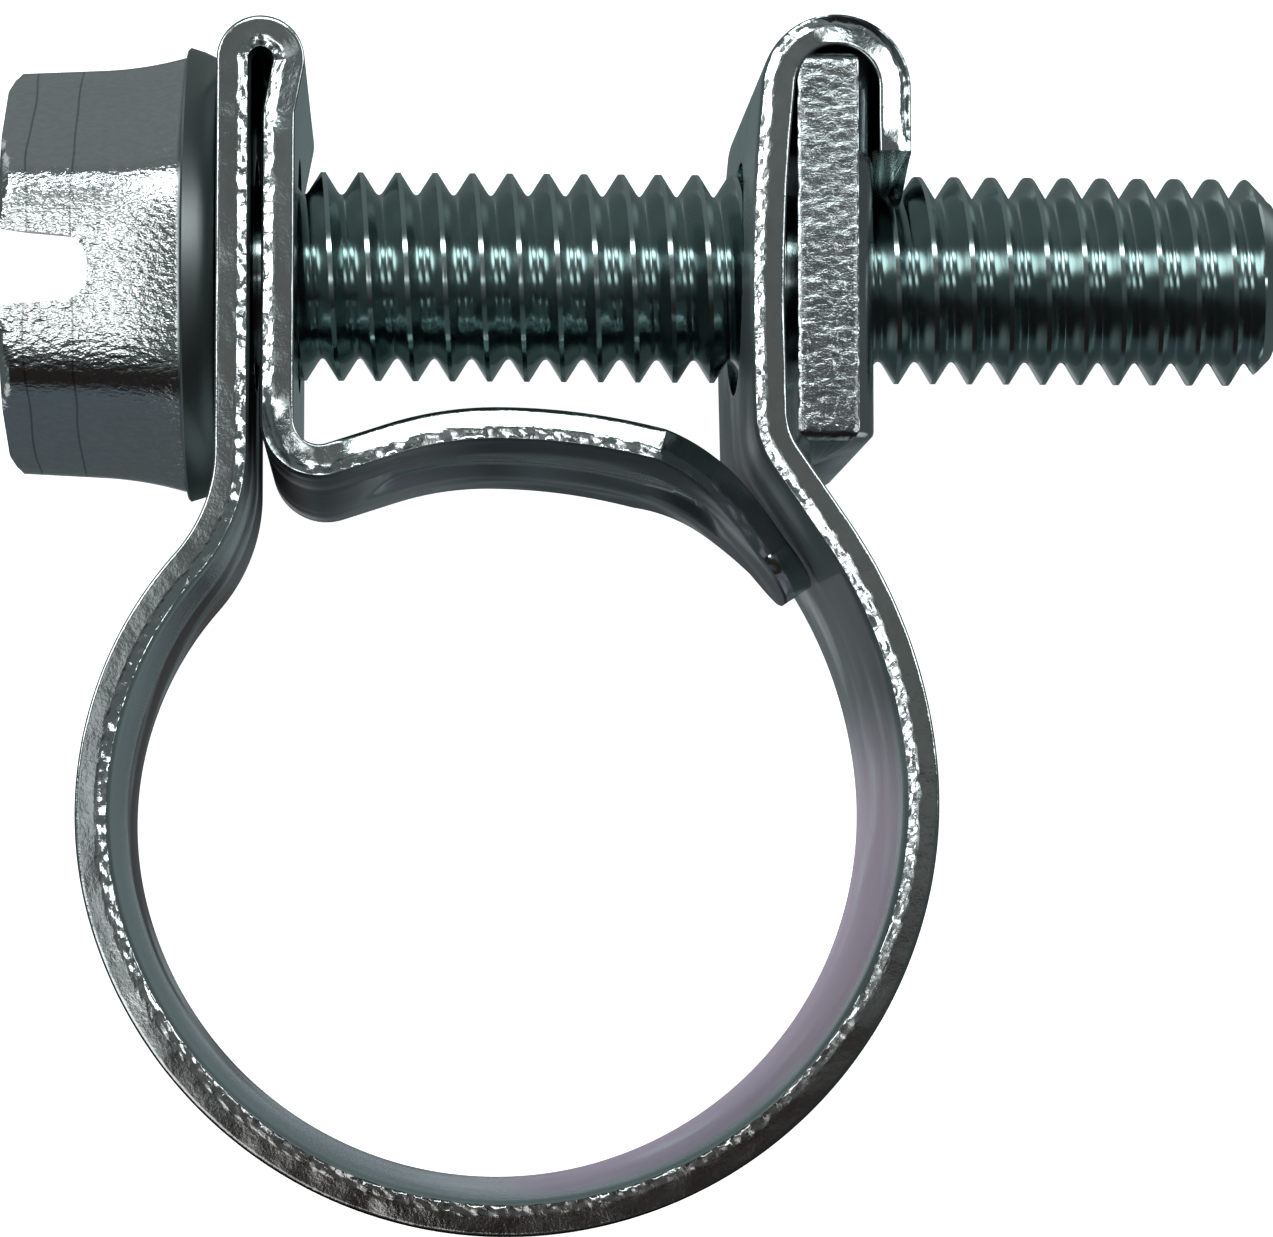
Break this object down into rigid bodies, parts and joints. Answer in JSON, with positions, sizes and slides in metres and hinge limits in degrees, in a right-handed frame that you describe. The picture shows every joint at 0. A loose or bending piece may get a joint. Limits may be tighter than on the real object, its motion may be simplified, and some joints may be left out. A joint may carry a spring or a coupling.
{
  "type": "nut-and-bolt hose clamp",
  "caption": "Small hose clamp: a steel strip bent into a ring with two ears, drawn together by a slotted hex flange screw in a plate nut, with a tongue under the gap.",
  "frame": {"origin": "centre of the bounding box at the level of the band's lower side edge, on which the clamp lies", "axes": "+Z along the ring's axis, +X along the screw from its head to its tip, +Y from the ring towards the screw"},
  "size_m": [0.0238, 0.022, 0.009],
  "materials": {
    "strip_zinc": "bright zinc plated, bluish, with grainy sheared edges",
    "nut_zinc": "bright zinc plated, mottled on its sheared sides",
    "screw_zinc": "bright zinc plated, dark green-grey"
  },
  "bodies": {
    "band": {"band_loop": "strip_zinc"},
    "nut_ear": {"band_nut_ear": "strip_zinc", "plate_nut": "nut_zinc"},
    "screw": {"hex_screw": "screw_zinc"}
  },
  "joints": [
    {"name": "ear_travel", "type": "slide", "parent": "band", "child": "nut_ear", "axis": [-1, 0, 0], "range_m": [-0.00245, 0.0021], "deforming": ["band_loop"]},
    {"name": "screw_turn", "type": "hinge", "parent": "band", "child": "screw", "pos_m": [-0.00791, 0.00668, 0.0045], "axis": [1, 0, 0], "range_deg": [-1261, 1081]}
  ],
  "couplings": [
    {"joint": "screw_turn", "follows": "ear_travel", "rad_per_m": 8976}
  ]
}
